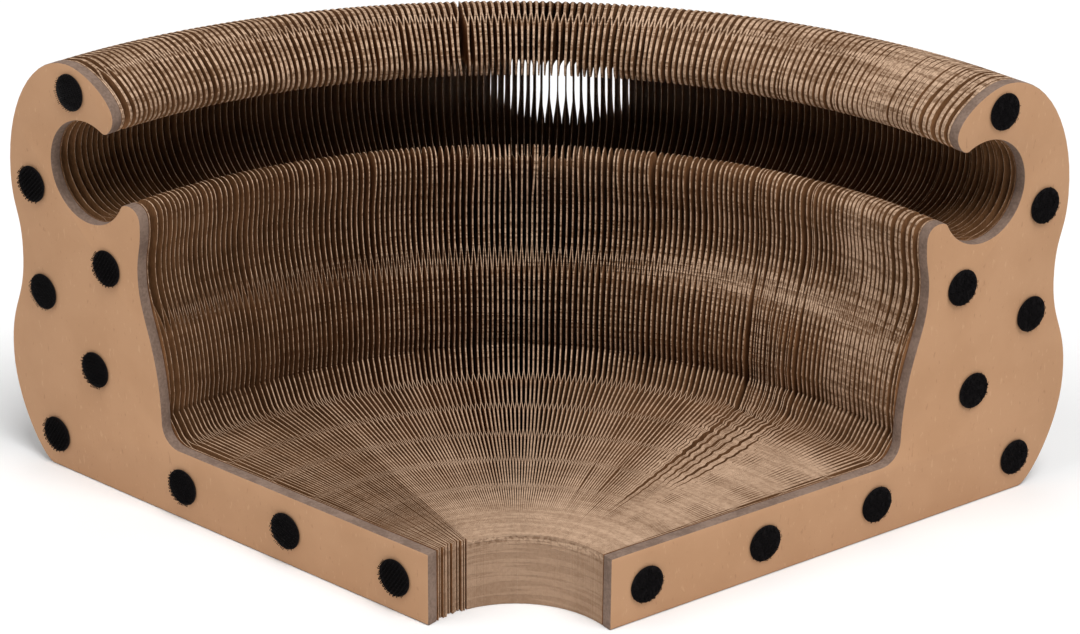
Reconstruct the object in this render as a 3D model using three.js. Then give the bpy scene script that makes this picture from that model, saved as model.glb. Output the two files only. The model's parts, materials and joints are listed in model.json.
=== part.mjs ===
// A fold-out cardboard cat scratcher with a ball track.
// Kraft paper leaves stand on edge between two thick boards and fan open about their inner ends.
// Every leaf and board is cut to one outline: a low floor, a curved wall and a C-shaped ball track.
// Millimetres, +Z up. At rest the fan opens towards +Y, and the boards stand at -X and +X.

import * as THREE from "three";

// Leaves and boards. One leaf is a pressed pack of kraft sheets, glued along its inner end to the next.
const LEAF_COUNT = 37;
const LEAF_THICKNESS = 1.6;
const LEAF_CLEARANCE = 0.3;
const BOARD_THICKNESS = 5;

// The fan at rest, in degrees between the two boards.
// A board turns this share of a leaf's fold, because only half a pack of sheets lies between the two.
const FAN_OPENING = 104;
const BOARD_FOLD_SHARE = 0.625;

// The outline, from the inner end on the floor.
const BOARD_LENGTH = 230;
const BOARD_HEIGHT = 177.5;
const FLOOR_HEIGHT = 29.5;
const FLOOR_LENGTH = 141.5;
const FLOOR_FILLET = 9;
const CURVE_STEPS = 5;

// The back edge: a rounded heel, a shallow waist and a round shoulder up to the crest.
const HEEL_LENGTH = 21;
const HEEL_HEIGHT = 44;
const WAIST_HEIGHT = 93;
const WAIST_DEPTH = 10;
const SHOULDER_HEIGHT = 124;
const SHOULDER_SETBACK = 5.5;
const CREST_SETBACK = 43;

// The ball track: a round channel, open towards the floor between the hook above and the lip below.
const TRACK_RADIUS = 21;
const TRACK_SETBACK = 52;
const TRACK_HEIGHT = 135;
const TRACK_HOOK_ANGLE = 118;
const TRACK_LIP_ANGLE = 208;
const HOOK_REACH = 16.6;
const HOOK_RISE = 25.5;
const LIP_REACH = 29.1;
const LIP_DROP = 14.5;

// The wall between the lip and the floor, hollow under the lip.
const HOLLOW_HEIGHT = 98;
const HOLLOW_DEPTH = 2.6;

// The touch-fastener dots: hooks on one board and loops on the other, which hold the fan open as a full ring.
const DOT_RADIUS = 7.5;
const DOT_HEIGHT = 1.2;
const DOT_EDGE = 0.4;
const DOT_SIDES = 20;
const ADHESIVE = 0.3;
const LOW_ROW_COUNT = 3;
const LOW_ROW_START = 16.5;
const LOW_ROW_PITCH = 57;
const LOW_ROW_HEIGHT = 14.5;
const HEEL_DOT_INSET = 25;
const SEAT_DOT_INSET = 51;
const SEAT_DOT_HEIGHT = 51;
const WAIST_DOT_INSET = 22;
const WAIST_DOT_HEIGHT = 77;
const CHEEK_DOT_OFFSET = 9;
const CHEEK_DOT_DROP = 37.5;
const SHOULDER_DOT_INSET = 19;
const SHOULDER_DOT_HEIGHT = 122.5;
const CREST_DOT_INSET = 45;
const CREST_DOT_DROP = 11;

const KRAFT_LEAF = new THREE.MeshStandardMaterial({ color: 0xa58460, roughness: 0.95, metalness: 0 });
const KRAFT_BOARD = new THREE.MeshStandardMaterial({ color: 0xb88f69, roughness: 0.9, metalness: 0 });
const HOOK_BLACK = new THREE.MeshStandardMaterial({ color: 0x141312, roughness: 0.7, metalness: 0 });
const LOOP_BLACK = new THREE.MeshStandardMaterial({ color: 0x19181a, roughness: 1, metalness: 0 });

const trackCentre = new THREE.Vector2(BOARD_LENGTH - TRACK_SETBACK, TRACK_HEIGHT);

/** A cubic curve from the pen to an end, given by how far its two handles stand from the pen and from the end. */
function curveTo(shape, handle, endHandle, end) {
  const pen = shape.currentPoint;
  const first = pen.clone().add(handle);
  const second = end.clone().add(endHandle);
  shape.bezierCurveTo(first.x, first.y, second.x, second.y, end.x, end.y);
}

/** A vector of the outline's plane. */
function vec(x, y) {
  return new THREE.Vector2(x, y);
}

/** The point of the track's wall at an angle from the horizontal, in degrees. */
function trackPoint(degrees) {
  const angle = THREE.MathUtils.degToRad(degrees);
  return vec(Math.cos(angle), Math.sin(angle)).multiplyScalar(TRACK_RADIUS).add(trackCentre);
}

/** The direction in which the track's wall runs, clockwise, at an angle in degrees. */
function trackHeading(degrees) {
  const angle = THREE.MathUtils.degToRad(degrees);
  return vec(Math.sin(angle), -Math.cos(angle));
}

/** The back edge, from the heel on the floor to the crest of the hook. */
function drawBack(shape) {
  const heel = vec(BOARD_LENGTH, HEEL_HEIGHT);
  const waist = vec(BOARD_LENGTH - WAIST_DEPTH, WAIST_HEIGHT);
  const shoulder = vec(BOARD_LENGTH - SHOULDER_SETBACK, SHOULDER_HEIGHT);
  const crest = vec(BOARD_LENGTH - CREST_SETBACK, BOARD_HEIGHT);
  const lower = (WAIST_HEIGHT - HEEL_HEIGHT) / 2;
  const upper = (SHOULDER_HEIGHT - WAIST_HEIGHT) / 2;
  const top = BOARD_HEIGHT - SHOULDER_HEIGHT;
  const brow = CREST_SETBACK - SHOULDER_SETBACK;
  curveTo(shape, vec(0.28 * HEEL_LENGTH, 0), vec(0, -0.5 * HEEL_HEIGHT), heel);
  curveTo(shape, vec(0, lower), vec(0, -lower), waist);
  curveTo(shape, vec(0, upper), vec(0, -upper), shoulder);
  curveTo(shape, vec(0, 0.55 * top), vec(0.55 * brow, 0), crest);
}

/** The hook, the round track under it and the lip, from the crest to the front of the lip. */
function drawTrack(shape) {
  const nose = vec(trackCentre.x - HOOK_REACH, trackCentre.y + HOOK_RISE);
  const lip = vec(trackCentre.x - LIP_REACH, trackCentre.y - LIP_DROP);
  const hookEnd = trackPoint(TRACK_HOOK_ANGLE);
  const lipStart = trackPoint(TRACK_LIP_ANGLE);
  const browRun = shape.currentPoint.x - nose.x;
  const browDrop = shape.currentPoint.y - nose.y;
  const noseDrop = nose.y - hookEnd.y;
  const lipRun = lipStart.x - lip.x;
  curveTo(shape, vec(-0.4 * browRun, 0), vec(0, 0.44 * browDrop), nose);
  curveTo(shape, vec(0, -0.6 * noseDrop), trackHeading(TRACK_HOOK_ANGLE).multiplyScalar(-0.4 * noseDrop), hookEnd);
  const start = THREE.MathUtils.degToRad(TRACK_HOOK_ANGLE);
  const end = THREE.MathUtils.degToRad(TRACK_LIP_ANGLE);
  shape.absarc(trackCentre.x, trackCentre.y, TRACK_RADIUS, start, end, true);
  curveTo(shape, trackHeading(TRACK_LIP_ANGLE).multiplyScalar(0.3 * lipRun), vec(0, 0.75 * lipRun), lip);
}

/** The wall, from the front of the lip down to the floor and along it to the inner end. */
function drawWall(shape) {
  const hollow = vec(shape.currentPoint.x + HOLLOW_DEPTH, HOLLOW_HEIGHT);
  const foot = vec(FLOOR_LENGTH, FLOOR_HEIGHT + FLOOR_FILLET);
  const under = (shape.currentPoint.y - HOLLOW_HEIGHT) / 2;
  const rise = HOLLOW_HEIGHT - foot.y;
  curveTo(shape, vec(0, -under), vec(0, under), hollow);
  curveTo(shape, vec(0, -0.3 * rise), vec(0, 0.56 * rise), foot);
  shape.absarc(FLOOR_LENGTH - FLOOR_FILLET, foot.y, FLOOR_FILLET, 0, -Math.PI / 2, true);
  shape.lineTo(0, FLOOR_HEIGHT);
}

/** The one outline to which leaves and boards are cut. */
function cutOutline() {
  const shape = new THREE.Shape();
  shape.moveTo(0, 0);
  shape.lineTo(BOARD_LENGTH - HEEL_LENGTH, 0);
  drawBack(shape);
  drawTrack(shape);
  drawWall(shape);
  shape.closePath();
  return shape;
}

const outline = cutOutline();

/** A sheet of the outline, standing on the floor along +Y from its inner end, centred on its thickness. */
function cutSheet(thickness) {
  const sheet = new THREE.ExtrudeGeometry(outline, {
    depth: thickness,
    bevelEnabled: false,
    curveSegments: CURVE_STEPS,
  });
  sheet.translate(0, 0, -thickness / 2);
  const alongY = new THREE.Vector3(0, 1, 0);
  const up = new THREE.Vector3(0, 0, 1);
  const across = new THREE.Vector3(1, 0, 0);
  return sheet.applyMatrix4(new THREE.Matrix4().makeBasis(alongY, up, across));
}

/** Where the dots sit on a board: along its length and above the floor. */
function dotPlaces() {
  const places = [];
  for (let i = 0; i < LOW_ROW_COUNT; i += 1) {
    places.push([LOW_ROW_START + i * LOW_ROW_PITCH, LOW_ROW_HEIGHT]);
  }
  places.push([BOARD_LENGTH - HEEL_DOT_INSET, LOW_ROW_HEIGHT]);
  places.push([BOARD_LENGTH - SEAT_DOT_INSET, SEAT_DOT_HEIGHT]);
  places.push([BOARD_LENGTH - WAIST_DOT_INSET, WAIST_DOT_HEIGHT]);
  places.push([trackCentre.x - CHEEK_DOT_OFFSET, trackCentre.y - CHEEK_DOT_DROP]);
  places.push([BOARD_LENGTH - SHOULDER_DOT_INSET, SHOULDER_DOT_HEIGHT]);
  places.push([BOARD_LENGTH - CREST_DOT_INSET, BOARD_HEIGHT - CREST_DOT_DROP]);
  return places;
}

/** One fastener dot: a low disc with a softened rim, standing on its back along +Y. */
function dotGeometry() {
  const profile = [
    vec(0, 0),
    vec(DOT_RADIUS, 0),
    vec(DOT_RADIUS, DOT_HEIGHT - DOT_EDGE),
    vec(DOT_RADIUS - DOT_EDGE, DOT_HEIGHT),
    vec(0, DOT_HEIGHT),
  ];
  return new THREE.LatheGeometry(profile, DOT_SIDES);
}

/** A named piece of the part. */
function piece(name, geometry, material) {
  const mesh = new THREE.Mesh(geometry, material);
  mesh.name = name;
  return mesh;
}

const leafGeometry = cutSheet(LEAF_THICKNESS);
const boardGeometry = cutSheet(BOARD_THICKNESS);
const discGeometry = dotGeometry();

// All folds of the fan share the opening: one less than the leaves, and a part fold at each board.
const foldShares = LEAF_COUNT - 1 + 2 * BOARD_FOLD_SHARE;
const leafFold = THREE.MathUtils.degToRad(FAN_OPENING / foldShares);
const boardFold = leafFold * BOARD_FOLD_SHARE;
const leafReach = (LEAF_THICKNESS + LEAF_CLEARANCE) / 2;
const boardReach = (BOARD_THICKNESS + LEAF_CLEARANCE) / 2;
const middleLeaf = (LEAF_COUNT + 1) / 2;

/** The name of a leaf, counted from the left board. */
function leafName(number) {
  return `leaf_${String(number).padStart(2, "0")}`;
}

/**
 * Hangs a sheet on the one before it. The fold line stands at the inner end, halfway across the gap between
 * the two, and the sheet turns about it. side is -1 to the left and 1 to the right. Returns the sheet's group.
 */
function foldOn(carrier, side, carrierReach, reach, angle) {
  const fold = new THREE.Group();
  fold.position.x = side * carrierReach;
  fold.rotation.z = -side * angle;
  const seat = new THREE.Group();
  seat.position.x = side * reach;
  fold.add(seat);
  carrier.add(fold);
  return seat;
}

/** Adds the leaves of one side of the fan, from the middle leaf outwards. Returns the last leaf's group. */
function addLeaves(middle, side) {
  let carrier = middle;
  for (let step = 1; step < middleLeaf; step += 1) {
    carrier = foldOn(carrier, side, leafReach, leafReach, leafFold);
    carrier.add(piece(leafName(middleLeaf + side * step), leafGeometry, KRAFT_LEAF));
  }
  return carrier;
}

/** Adds a board at the end of one side, with a dot at each place of its outer face. */
function addBoard(lastLeaf, side, boardName, dotName, dotMaterial) {
  const seat = foldOn(lastLeaf, side, leafReach, boardReach, boardFold);
  seat.add(piece(boardName, boardGeometry, KRAFT_BOARD));
  dotPlaces().forEach(([along, height], index) => {
    const dot = piece(`${dotName}_${index + 1}`, discGeometry, dotMaterial);
    dot.position.set(side * (BOARD_THICKNESS / 2 + ADHESIVE), along, height);
    dot.rotation.z = (-side * Math.PI) / 2;
    seat.add(dot);
  });
}

const fan = new THREE.Group();
fan.add(piece(leafName(middleLeaf), leafGeometry, KRAFT_LEAF));
addBoard(addLeaves(fan, -1), -1, "left_board", "hook_dot", HOOK_BLACK);
addBoard(addLeaves(fan, 1), 1, "right_board", "loop_dot", LOOP_BLACK);

// The origin is on the floor, under the middle of the open fan.
const part = new THREE.Group();
part.add(fan);
const reach = new THREE.Box3().setFromObject(part, true);
const centre = reach.getCenter(new THREE.Vector3());
fan.position.set(-centre.x, -centre.y, -reach.min.z);

export default part;
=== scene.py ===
"""A fold-out cardboard cat scratcher with a ball track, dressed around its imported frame.

Kraft paper sheets, glued to each other in strips, stand on edge between two thick boards and fan open as a
honeycomb. Sheets and boards are cut to one outline, but for the foot of the sheets' wall.
Metres, +Z up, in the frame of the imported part.
"""

from __future__ import annotations

import json
import logging
import math
import random
from dataclasses import dataclass, replace
from enum import Enum
from typing import Iterable, Sequence

import bpy
import numpy as np
from mathutils import Color, Matrix, Vector

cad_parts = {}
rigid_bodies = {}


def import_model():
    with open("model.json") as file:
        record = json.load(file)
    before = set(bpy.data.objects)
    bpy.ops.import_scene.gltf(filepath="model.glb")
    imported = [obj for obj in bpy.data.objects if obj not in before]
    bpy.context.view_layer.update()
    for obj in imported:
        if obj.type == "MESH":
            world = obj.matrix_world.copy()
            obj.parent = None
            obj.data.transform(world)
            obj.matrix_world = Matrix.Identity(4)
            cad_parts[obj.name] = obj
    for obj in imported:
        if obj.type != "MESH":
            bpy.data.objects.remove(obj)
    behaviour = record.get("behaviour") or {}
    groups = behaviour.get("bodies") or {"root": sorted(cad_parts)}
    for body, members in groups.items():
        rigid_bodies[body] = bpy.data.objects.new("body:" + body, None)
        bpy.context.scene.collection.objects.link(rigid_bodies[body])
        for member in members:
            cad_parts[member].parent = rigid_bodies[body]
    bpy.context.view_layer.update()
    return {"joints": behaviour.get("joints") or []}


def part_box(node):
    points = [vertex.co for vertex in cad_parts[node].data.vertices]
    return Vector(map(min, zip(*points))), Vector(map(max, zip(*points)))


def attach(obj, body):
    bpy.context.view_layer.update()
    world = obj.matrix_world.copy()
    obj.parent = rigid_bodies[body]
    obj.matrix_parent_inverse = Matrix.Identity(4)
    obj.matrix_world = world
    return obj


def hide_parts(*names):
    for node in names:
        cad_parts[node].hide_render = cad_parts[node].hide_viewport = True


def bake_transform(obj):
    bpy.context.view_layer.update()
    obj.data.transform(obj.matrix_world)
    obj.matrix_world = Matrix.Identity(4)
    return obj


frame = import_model()

LOG = logging.getLogger("scratcher")
MM = 0.001
SEED = 20
FULL_TURN = 2 * math.pi
BRIGHTEST = 255
NOISE_MIDDLE = 0.5
FACES_UP = 0.9

Colour = tuple[float, float, float]
Triple = tuple[float, float, float]
Span = tuple[float, float]


def linear(*channels: float) -> Colour:
    """Turns a colour of 0 to 255 a channel, as a screen shows it, into scene light."""
    return tuple(Color([channel / BRIGHTEST for channel in channels]).from_srgb_to_scene_linear())


def fraction(span: Span, value: np.ndarray | float) -> np.ndarray:
    """How far along a span each value lies, from 0 at its start to 1 at its end."""
    start, end = span
    return np.clip((value - start) / (end - start), 0, 1)


def ease(span: Span, value: np.ndarray | float) -> np.ndarray:
    """Rises smoothly from 0 at the start of a span to 1 at its end."""
    share = fraction(span, value)
    return share * share * (3 - 2 * share)


def ease_out(span: Span, value: np.ndarray | float) -> np.ndarray:
    """Falls smoothly from 1 at the start of a span to 0 at its end."""
    return 1 - ease(span, value)


class Side(Enum):
    """The two ends of the fan, by the sign of X."""

    LEFT = -1
    RIGHT = 1


class Fastener(Enum):
    """The two halves of the touch fastener."""

    HOOK = "hook"
    LOOP = "loop"


class Sock:
    """A node's socket that takes part in Python arithmetic. Each operation adds a Math node."""

    def __init__(self, graph: Graph, socket: bpy.types.NodeSocket) -> None:
        """Keeps the socket and the graph that its Math nodes go into."""
        self.graph = graph
        self.socket = socket

    def _math(self, operation: str, first: Sock | float, second: Sock | float) -> Sock:
        """Adds one Math node."""
        return self.graph.add("ShaderNodeMath", {"operation": operation}, {0: first, 1: second})

    def __add__(self, other: Sock | float) -> Sock:
        """The sum."""
        return self._math("ADD", self, other)

    def __sub__(self, other: Sock | float) -> Sock:
        """The difference."""
        return self._math("SUBTRACT", self, other)

    def __rsub__(self, other: float) -> Sock:
        """The difference from a number."""
        return self._math("SUBTRACT", other, self)

    def __mul__(self, other: Sock | float) -> Sock:
        """The product."""
        return self._math("MULTIPLY", self, other)

    def __pow__(self, other: float) -> Sock:
        """The power."""
        return self._math("POWER", self, other)

    __radd__ = __add__
    __rmul__ = __mul__


@dataclass(frozen=True)
class Grain:
    """A noise: its features a metre, its finer layers and its stretch along the axes."""

    scale: float
    layers: float = 3
    stretch: Triple = (1, 1, 1)


class Graph:
    """The node graph of one material, or of the world."""

    def __init__(self, owner: bpy.types.Material | bpy.types.World) -> None:
        """Empties the owner's graph.

        Args:
            owner: The material or the world.
        """
        owner.use_nodes = True
        self.owner = owner
        self.tree = owner.node_tree
        self.tree.nodes.clear()

    @classmethod
    def of_material(cls, name: str) -> Graph:
        """Starts a new material of that name."""
        return cls(bpy.data.materials.new(name))

    def add(
        self,
        kind: str,
        settings: dict[str, object] | None = None,
        inputs: dict[str | int, object] | None = None,
        output: str | int = 0,
    ) -> Sock | None:
        """Adds a node.

        Args:
            kind: The node's type.
            settings: Its own settings, set first.
            inputs: Values or sockets for its inputs, by name, identifier or number.
            output: The output that is wanted, by name, identifier or number.

        Returns:
            That output, or none where the node has no output.
        """
        node = self.tree.nodes.new(kind)
        for key, value in (settings or {}).items():
            setattr(node, key, value)
        for key, value in (inputs or {}).items():
            socket = self._find(node.inputs, key)
            if isinstance(value, Sock):
                self.tree.links.new(value.socket, socket)
            elif socket.type == "RGBA":
                socket.default_value = (*value, 1)
            else:
                socket.default_value = value
        return Sock(self, self._find(node.outputs, output)) if node.outputs else None

    @staticmethod
    def _find(sockets: Sequence[bpy.types.NodeSocket], key: str | int) -> bpy.types.NodeSocket:
        """Finds a socket by number or identifier, or else by name."""
        by_identifier = {socket.identifier: socket for socket in sockets}
        return by_identifier.get(key) or sockets[key]

    def place(self, stretch: Triple) -> Sock:
        """The place on the piece, stretched along its axes."""
        here = self.add("ShaderNodeTexCoord", output="Object")
        return self.add("ShaderNodeMapping", inputs={"Vector": here, "Scale": stretch})

    def fan_place(self, apex: float, drift: float) -> Sock:
        """The place on the outline of a sheet, the same on every sheet but for a slow drift along the fan.

        Args:
            apex: Where the fan's apex lies on Y.
            drift: How much of the sideways place is left in.

        Returns:
            The distance from the apex, the height and the drift.
        """
        here = self.add("ShaderNodeTexCoord", output="Object")
        east, north, up = (self.add("ShaderNodeSeparateXYZ", inputs={0: here}, output=axis) for axis in "XYZ")
        reach = (east ** 2 + (north - apex) ** 2) ** 0.5
        return self.add("ShaderNodeCombineXYZ", inputs={"X": reach, "Y": up, "Z": drift * east})

    def noise(self, grain: Grain, place: Sock | None = None) -> Sock:
        """Adds a noise, which reads the place on the piece if it is given no other."""
        inputs = {"Vector": place or self.place(grain.stretch), "Scale": grain.scale, "Detail": grain.layers}
        return self.add("ShaderNodeTexNoise", inputs=inputs, output="Fac")

    def ramp(self, value: Sock, span: Span) -> Sock:
        """Grades a value smoothly from 0 at the start of a span to 1 at its end."""
        inputs = {"Value": value, "From Min": span[0], "From Max": span[1]}
        return self.add("ShaderNodeMapRange", {"interpolation_type": "SMOOTHSTEP"}, inputs)

    def mix(self, factor: Sock, first: Sock | Colour, second: Sock | Colour) -> Sock:
        """Mixes two colours."""
        inputs = {"Factor_Float": factor, "A_Color": first, "B_Color": second}
        return self.add("ShaderNodeMix", {"data_type": "RGBA"}, inputs, "Result_Color")

    def bump(self, height: Sock, depth: float) -> Sock:
        """A normal that a height raises by that depth, in metres."""
        return self.add("ShaderNodeBump", inputs={"Height": height, "Distance": depth, "Strength": 1.0})

    def surface(self, **inputs: object) -> bpy.types.Material:
        """Ends the graph in a Principled surface.

        Args:
            inputs: Values or sockets for the surface, named with underscores.

        Returns:
            The finished material.
        """
        named = {key.replace("_", " "): value for key, value in inputs.items()}
        shader = self.add("ShaderNodeBsdfPrincipled", inputs=named)
        self.add("ShaderNodeOutputMaterial", inputs={"Surface": shader})
        return self.owner


@dataclass(frozen=True)
class PaperFace:
    """The flat of a kraft sheet: brown, matt, with a faint cloud of fibres."""

    tone: Colour = linear(154, 110, 74)
    deep: Colour = linear(124, 85, 54)
    cloud: Grain = Grain(90)
    fibre: Grain = Grain(1400, 2, (1, 1, 0.25))
    fibre_share: float = 0.4
    fibre_depth: float = 0.05 * MM
    shade_levels: Span = (0.35, 0.65)
    roughness: float = 0.92
    gloss: float = 0.1

    def material(self) -> bpy.types.Material:
        """Builds the finish.

        Returns:
            The material.
        """
        graph = Graph.of_material("kraft_paper_face")
        fibre = graph.noise(self.fibre)
        cloud = (1 - self.fibre_share) * graph.noise(self.cloud) + self.fibre_share * fibre
        return graph.surface(
            Base_Color=graph.mix(graph.ramp(cloud, self.shade_levels), self.deep, self.tone),
            Roughness=self.roughness,
            Specular_IOR_Level=self.gloss,
            Normal=graph.bump(fibre, self.fibre_depth),
        )


@dataclass(frozen=True)
class PaperEdge:
    """The die-cut edge of a kraft sheet: paler than the flat, beaded and scored by the blade.

    The blade leaves its scores at the same place of every sheet, so they run along the fan as fine lines.
    Where the edges are pressed, and on the inner arc, scores and beads are calmer. The inner arc's edges also
    get a painted shade.
    """

    tone: Colour = linear(209, 176, 148)
    deep: Colour = linear(118, 88, 64)
    apex: float = -144.56 * MM
    drift: float = 0.06
    score: Grain = Grain(560, 1)
    score_levels: Span = (0.42, 0.56)
    bead: Grain = Grain(700, 1)
    bead_levels: Span = (0.4, 0.54)
    cloud: Grain = Grain(35, 2)
    cloud_levels: Span = (0.3, 0.7)
    shade_shares: Triple = (0.42, 0.38, 0.2)
    relief: float = 0.4 * MM
    relief_shares: Span = (0.7, 0.3)
    pressed_levels: Triple = (28 * MM, 29.2 * MM, 42 * MM)
    pressed_calm: float = 0.6
    pressed_shade: float = 0.66
    inner_level: float = 24 * MM
    # painted shade: how much darker the edges of the inner arc are made
    inner_painted_shade: float = 0.17
    inner_calm: float = 0.8
    roughness: float = 0.95
    gloss: float = 0.1

    def material(self) -> bpy.types.Material:
        """Builds the finish.

        Returns:
            The material.
        """
        graph = Graph.of_material("kraft_paper_edge")
        place = graph.fan_place(self.apex, self.drift)
        height = graph.add("ShaderNodeSeparateXYZ", inputs={0: place}, output="Y")
        low, top, high = self.pressed_levels
        floor = graph.ramp(height, (low, top)) - graph.ramp(height, (top, high))
        inner = 1 - graph.ramp(height, (self.inner_level, low))
        score = graph.ramp(graph.noise(self.score, place), self.score_levels)
        score = score + self.pressed_calm * (floor + inner) * (self.pressed_shade - score)
        bead = graph.ramp(graph.noise(self.bead), self.bead_levels)
        bead = bead + (self.pressed_calm * floor + self.inner_calm * inner) * (self.pressed_shade - bead)
        cloud = graph.ramp(graph.noise(self.cloud), self.cloud_levels)
        by_score, by_bead, by_cloud = self.shade_shares
        # painted shade: the inner arc's edges are pulled towards the deep tone
        shade = (by_score * score + by_bead * bead + by_cloud * cloud) * (1 - self.inner_painted_shade * inner)
        relief = self.relief_shares[0] * score + self.relief_shares[1] * bead
        return graph.surface(
            Base_Color=graph.mix(shade, self.deep, self.tone),
            Roughness=self.roughness,
            Specular_IOR_Level=self.gloss,
            Normal=graph.bump(relief, self.relief),
        )


@dataclass(frozen=True)
class BoardFace:
    """The kraft facing of a board: even tan with pale and dark flecks and a faint cloud."""

    tone: Colour = linear(195, 151, 115)
    cloud_tone: Colour = linear(190, 146, 110)
    cloud: Grain = Grain(45, 4)
    cloud_levels: Span = (0.35, 0.65)
    fleck: Grain = Grain(700, 2, (1, 1, 0.35))
    pale_fleck: Colour = linear(206, 165, 130)
    pale_levels: Span = (0.64, 0.74)
    pale_share: float = 0.55
    dark_fleck: Colour = linear(171, 127, 93)
    dark_levels: Span = (0.66, 0.76)
    dark_share: float = 0.6
    grain: Grain = Grain(2600, 2)
    grain_depth: float = 0.03 * MM
    grain_roughness: float = 0.1
    roughness: float = 0.82
    gloss: float = 0.2

    def material(self) -> bpy.types.Material:
        """Builds the finish.

        Returns:
            The material.
        """
        graph = Graph.of_material("kraft_board_face")
        fleck = graph.noise(self.fleck)
        grain = graph.noise(self.grain)
        cloud = graph.ramp(graph.noise(self.cloud), self.cloud_levels)
        pale = self.pale_share * graph.ramp(fleck, self.pale_levels)
        dark = self.dark_share * graph.ramp(1 - fleck, self.dark_levels)
        flecked = graph.mix(pale, graph.mix(cloud, self.cloud_tone, self.tone), self.pale_fleck)
        return graph.surface(
            Base_Color=graph.mix(dark, flecked, self.dark_fleck),
            Roughness=self.roughness + self.grain_roughness * (grain - NOISE_MIDDLE),
            Specular_IOR_Level=self.gloss,
            Normal=graph.bump(grain, self.grain_depth),
        )


@dataclass(frozen=True)
class BoardEdge:
    """The cut edge of a board: grey-brown pulp."""

    tone: Colour = linear(141, 119, 105)
    deep: Colour = linear(117, 97, 85)
    cloud: Grain = Grain(120)
    pulp: Grain = Grain(900)
    pulp_share: float = 0.5
    pulp_depth: float = 0.06 * MM
    shade_levels: Span = (0.36, 0.64)
    roughness: float = 0.9
    gloss: float = 0.2

    def material(self) -> bpy.types.Material:
        """Builds the finish.

        Returns:
            The material.
        """
        graph = Graph.of_material("board_cut_edge")
        pulp = graph.noise(self.pulp)
        cloud = self.pulp_share * pulp + (1 - self.pulp_share) * graph.noise(self.cloud)
        return graph.surface(
            Base_Color=graph.mix(graph.ramp(cloud, self.shade_levels), self.deep, self.tone),
            Roughness=self.roughness,
            Specular_IOR_Level=self.gloss,
            Normal=graph.bump(pulp, self.pulp_depth),
        )


@dataclass(frozen=True)
class FastenerBlack:
    """The black of a fastener dot: plastic hooks, or rougher nylon loops."""

    kind: Fastener
    tone: Colour = linear(16, 14, 15)
    worn: Colour = linear(29, 26, 27)
    speck: Grain = Grain(1800, 2)
    speck_levels: Span = (0.45, 0.7)
    speck_roughness: float = 0.2
    hook_roughness: float = 0.45
    loop_roughness: float = 0.85
    gloss: float = 0.06

    def material(self) -> bpy.types.Material:
        """Builds the finish.

        Returns:
            The material.
        """
        graph = Graph.of_material(f"{self.kind.value}_black")
        speck = graph.noise(self.speck)
        roughness = self.hook_roughness if self.kind is Fastener.HOOK else self.loop_roughness
        return graph.surface(
            Base_Color=graph.mix(graph.ramp(speck, self.speck_levels), self.tone, self.worn),
            Roughness=roughness + self.speck_roughness * (speck - NOISE_MIDDLE),
            Specular_IOR_Level=self.gloss,
        )


@dataclass
class Knot:
    """One point of a drawn outline, with the handles of the curves before and after it."""

    place: Vector
    before: Vector
    after: Vector


class Pen:
    """Draws a closed outline as Bezier knots, along a sheet from its inner end and up from the floor."""

    ARC_STEP = 60

    def __init__(self, along: float, up: float) -> None:
        """Sets the pen down."""
        start = Vector((along, up))
        self.knots = [Knot(start, start, start)]

    @property
    def place(self) -> Vector:
        """Where the pen is."""
        return self.knots[-1].place

    def line_to(self, along: float, up: float) -> None:
        """Draws a straight line, with its handles a third from its ends."""
        end = Vector((along, up))
        self.curve_to((end - self.place) / 3, (self.place - end) / 3, end)

    def curve_to(self, handle: Vector, end_handle: Vector, end: Vector) -> None:
        """Draws a curve, whose handles are measured from the pen and from the end."""
        self.knots[-1].after = self.place + handle
        self.knots.append(Knot(end, end + end_handle, end))

    def arc_clockwise(self, centre: Vector, start: float, end: float) -> None:
        """Draws a round arc clockwise, in steps that a curve can follow closely.

        Args:
            centre: The arc's centre.
            start: The angle of its start, in degrees.
            end: The angle of its end, in degrees, below the start.
        """
        steps = math.ceil((start - end) / self.ARC_STEP)
        sweep = math.radians((start - end) / steps)
        radius = (self.place - centre).length
        reach = radius * 4 / 3 * math.tan(sweep / 4)
        for step in range(steps):
            angle = math.radians(start) - sweep * step
            after = angle - sweep
            here = Vector((math.sin(angle), -math.cos(angle))) * reach
            there = Vector((math.sin(after), -math.cos(after))) * reach
            self.curve_to(here, -there, centre + Vector((math.cos(after), math.sin(after))) * radius)

    def close(self) -> list[Knot]:
        """Joins the end to the start with a straight line.

        Returns:
            The knots.
        """
        first, last = self.knots[0], self.knots[-1]
        first.before = first.place + (last.place - first.place) / 3
        last.after = last.place + (first.place - last.place) / 3
        return self.knots


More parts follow.
